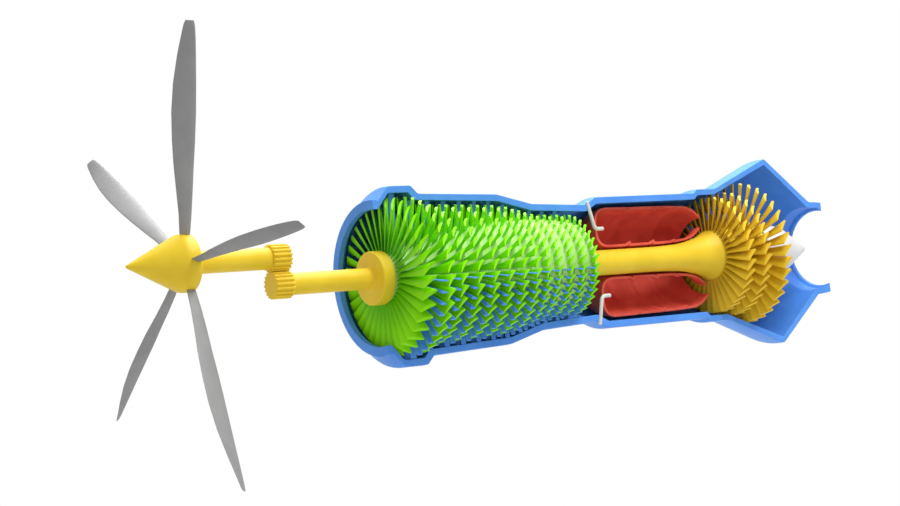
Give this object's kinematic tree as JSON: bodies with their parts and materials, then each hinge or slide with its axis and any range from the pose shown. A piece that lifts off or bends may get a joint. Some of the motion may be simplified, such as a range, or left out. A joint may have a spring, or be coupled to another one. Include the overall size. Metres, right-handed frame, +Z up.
{
  "type": "turboprop engine",
  "caption": "Cutaway axial turboprop engine: geared propeller, bladed compressor drum, annular combustion chamber, turbine and exhaust nozzle in a half casing.",
  "frame": {"origin": "on the engine axis, in the plane of the intake lip's front face", "axes": "+X along the engine axis towards the exhaust, +Y towards the closed half of the casing, +Z up, towards the propeller's axis"},
  "size_m": [3.463, 1.5851, 1.6415],
  "materials": {
    "casing_paint": "satin",
    "vane_paint": "satin",
    "compressor_blade_paint": "satin",
    "drum_paint": "satin",
    "shaft_paint": "satin",
    "turbine_blade_paint": "satin",
    "liner_paint": "satin",
    "pipe_metal": "satin",
    "cone_paint": "satin",
    "propeller_blade_paint": "satin"
  },
  "bodies": {
    "engine_case": {"casing": "casing_paint", "combustion_liner": "liner_paint", "fuel_pipes": "pipe_metal", "mid_bearing_frame": "casing_paint", "exhaust_cone": "cone_paint", "vane_row_01": "vane_paint", "vane_row_02": "vane_paint", "vane_row_03": "vane_paint", "vane_row_04": "vane_paint", "vane_row_05": "vane_paint", "vane_row_06": "vane_paint", "vane_row_07": "vane_paint", "vane_row_08": "vane_paint", "vane_row_09": "vane_paint", "vane_row_10": "vane_paint", "vane_row_11": "vane_paint", "vane_row_12": "vane_paint"},
    "spool": {"drive_gear": "shaft_paint", "drive_shaft": "shaft_paint", "compressor_drum": "drum_paint", "rotor_row_01": "compressor_blade_paint", "rotor_row_02": "compressor_blade_paint", "rotor_row_03": "compressor_blade_paint", "rotor_row_04": "compressor_blade_paint", "rotor_row_05": "compressor_blade_paint", "rotor_row_06": "compressor_blade_paint", "rotor_row_07": "compressor_blade_paint", "rotor_row_08": "compressor_blade_paint", "rotor_row_09": "compressor_blade_paint", "rotor_row_10": "compressor_blade_paint", "rotor_row_11": "compressor_blade_paint", "rotor_row_12": "compressor_blade_paint", "rotor_row_13": "compressor_blade_paint", "turbine_shaft": "shaft_paint", "turbine_row_1": "turbine_blade_paint", "turbine_row_2": "turbine_blade_paint", "turbine_row_3": "turbine_blade_paint"},
    "propeller": {"propeller_gear": "shaft_paint", "propeller_hub": "shaft_paint"},
    "blade_1": {"propeller_blade_1": "propeller_blade_paint"},
    "blade_2": {"propeller_blade_2": "propeller_blade_paint"},
    "blade_3": {"propeller_blade_3": "propeller_blade_paint"},
    "blade_4": {"propeller_blade_4": "propeller_blade_paint"},
    "blade_5": {"propeller_blade_5": "propeller_blade_paint"}
  },
  "joints": [
    {"name": "spool_spin", "type": "hinge", "parent": "engine_case", "child": "spool", "pos_m": [0, 0, 0], "axis": [1, 0, 0], "continuous": true},
    {"name": "propeller_spin", "type": "hinge", "parent": "engine_case", "child": "propeller", "pos_m": [-0.6, 0, 0.099], "axis": [1, 0, 0], "continuous": true},
    {"name": "blade_pitch_1", "type": "hinge", "parent": "propeller", "child": "blade_1", "pos_m": [-0.7905, 0, 0.099], "axis": [0, -0.2639, 0.9646], "range_deg": [-25, 45]},
    {"name": "blade_pitch_2", "type": "hinge", "parent": "propeller", "child": "blade_2", "pos_m": [-0.7905, 0, 0.099], "axis": [0, 0.8358, 0.549], "range_deg": [-25, 45]},
    {"name": "blade_pitch_3", "type": "hinge", "parent": "propeller", "child": "blade_3", "pos_m": [-0.7905, 0, 0.099], "axis": [0, 0.7804, -0.6252], "range_deg": [-25, 45]},
    {"name": "blade_pitch_4", "type": "hinge", "parent": "propeller", "child": "blade_4", "pos_m": [-0.7905, 0, 0.099], "axis": [0, -0.3535, -0.9354], "range_deg": [-25, 45]},
    {"name": "blade_pitch_5", "type": "hinge", "parent": "propeller", "child": "blade_5", "pos_m": [-0.7905, 0, 0.099], "axis": [0, -0.9989, 0.0471], "range_deg": [-25, 45]}
  ],
  "couplings": [
    {"joint": "propeller_spin", "follows": "spool_spin", "ratio": -1},
    {"joint": "blade_pitch_2", "follows": "blade_pitch_1", "ratio": 1},
    {"joint": "blade_pitch_3", "follows": "blade_pitch_1", "ratio": 1},
    {"joint": "blade_pitch_4", "follows": "blade_pitch_1", "ratio": 1},
    {"joint": "blade_pitch_5", "follows": "blade_pitch_1", "ratio": 1}
  ]
}
